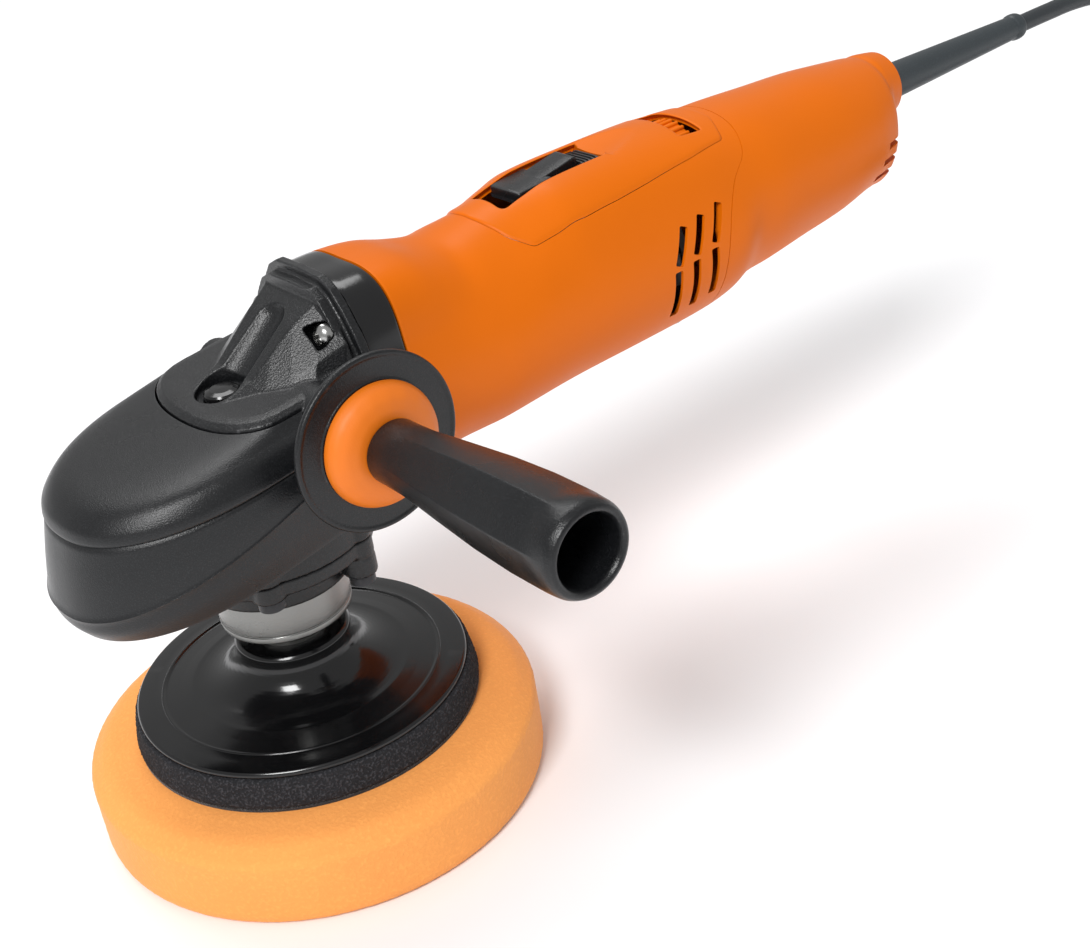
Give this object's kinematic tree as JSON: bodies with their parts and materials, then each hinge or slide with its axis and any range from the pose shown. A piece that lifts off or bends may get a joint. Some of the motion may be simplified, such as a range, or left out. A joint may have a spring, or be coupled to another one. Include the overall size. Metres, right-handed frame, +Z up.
{
  "type": "rotary polisher",
  "caption": "Corded rotary polisher with a long motor body, black gear head and hood, side handle with a hand guard, slide switch, speed dial and a foam polishing pad on a vertical spindle.",
  "frame": {"origin": "on the spindle axis, at the working face of the foam pad", "axes": "+Z up along the spindle, away from the surface being polished; +X along the motor, from the spindle to the cord; -Y to the side with the handle"},
  "size_m": [0.5992, 0.225, 0.1752],
  "materials": {
    "pale_foam": "open pored foam",
    "black_foam": "closed cell foam",
    "hook_pile": "short pile",
    "black_plastic": "fine grain",
    "gloss_black_plastic": "smooth",
    "orange_plastic": "satin",
    "soft_orange": "soft",
    "cast_black": "cast and painted black",
    "steel": "turned",
    "bright_collar": "turned and polished",
    "black_steel": "black oxide",
    "lamination": "stacked sheets",
    "copper": "enamelled wire",
    "carbon": "carbon",
    "aluminium": "die cast",
    "grey_rubber": "soft",
    "cord_rubber": "smooth",
    "electronics": "moulded case"
  },
  "bodies": {
    "housing": {"lower_bearing": "steel", "upper_bearing": "steel", "neck_collar": "bright_collar", "bearing_flange": "cast_black", "flange_screws": "black_steel", "gear_housing": "cast_black", "grip_hood": "black_plastic", "lock_spring": "steel", "pinion_bearing": "steel", "pinion_needle_bearing": "steel", "head_screws": "steel", "gear_ring": "black_plastic", "bearing_shield": "aluminium", "front_bearing": "steel", "rear_bearing": "steel", "fan_baffle": "black_plastic", "stator_core": "lamination", "field_coils": "copper", "brush_carrier": "black_plastic", "brush_holders": "black_plastic", "carbon_brushes": "carbon", "brush_springs": "steel", "motor_housing": "orange_plastic", "switch_panel": "orange_plastic", "switch_module": "electronics", "speed_module": "electronics", "rear_cover": "orange_plastic", "cover_screws": "steel", "cord_clamp": "black_plastic", "strain_relief": "grey_rubber", "handle_stud": "steel", "handle_guard": "black_plastic", "handle_ring": "soft_orange", "handle_grip": "black_plastic", "cord": "cord_rubber", "cord_coil": "cord_rubber", "cord_tie": "black_plastic", "mains_plug": "black_plastic"},
    "pad_spindle": {"polishing_sponge": "pale_foam", "hook_disc": "hook_pile", "backing_foam": "black_foam", "backing_plate": "gloss_black_plastic", "plate_insert": "steel", "spindle": "steel", "crown_wheel": "steel", "spindle_circlip": "steel"},
    "pinion_set": {"pinion_shaft": "steel", "bevel_pinion": "steel", "spur_wheel": "steel"},
    "armature": {"armature_shaft": "steel", "armature_pinion": "steel", "armature_core": "lamination", "armature_windings": "copper", "commutator": "copper", "cooling_fan": "black_plastic"},
    "lock_button": {"lock_button": "gloss_black_plastic", "lock_pin": "steel"},
    "slide_switch": {"slide_switch": "black_plastic", "switch_link": "black_plastic"},
    "speed_dial": {"speed_dial": "orange_plastic"}
  },
  "joints": [
    {"name": "spindle_spin", "type": "hinge", "parent": "housing", "child": "pad_spindle", "pos_m": [0, 0, 0.09], "axis": [0, 0, 1], "continuous": true},
    {"name": "pinion_spin", "type": "hinge", "parent": "housing", "child": "pinion_set", "pos_m": [0.03, 0, 0.1155], "axis": [1, 0, 0], "continuous": true},
    {"name": "armature_spin", "type": "hinge", "parent": "housing", "child": "armature", "pos_m": [0.1, 0, 0.133], "axis": [1, 0, 0], "continuous": true},
    {"name": "lock_press", "type": "slide", "parent": "housing", "child": "lock_button", "axis": [0, 0, -1], "range_m": [0, 0.005], "stiffness_N_per_m": 600, "springref_m": -0.002, "deforming": ["lock_spring"]},
    {"name": "switch_slide", "type": "slide", "parent": "housing", "child": "slide_switch", "axis": [-1, 0, 0], "range_m": [0, 0.007]},
    {"name": "dial_turn", "type": "hinge", "parent": "housing", "child": "speed_dial", "pos_m": [0.181, 0, 0.1573], "axis": [1, 0, 0], "range_deg": [0, 270]}
  ],
  "couplings": [
    {"joint": "pinion_spin", "follows": "spindle_spin", "ratio": 2.9091},
    {"joint": "armature_spin", "follows": "spindle_spin", "ratio": -9.2121}
  ]
}
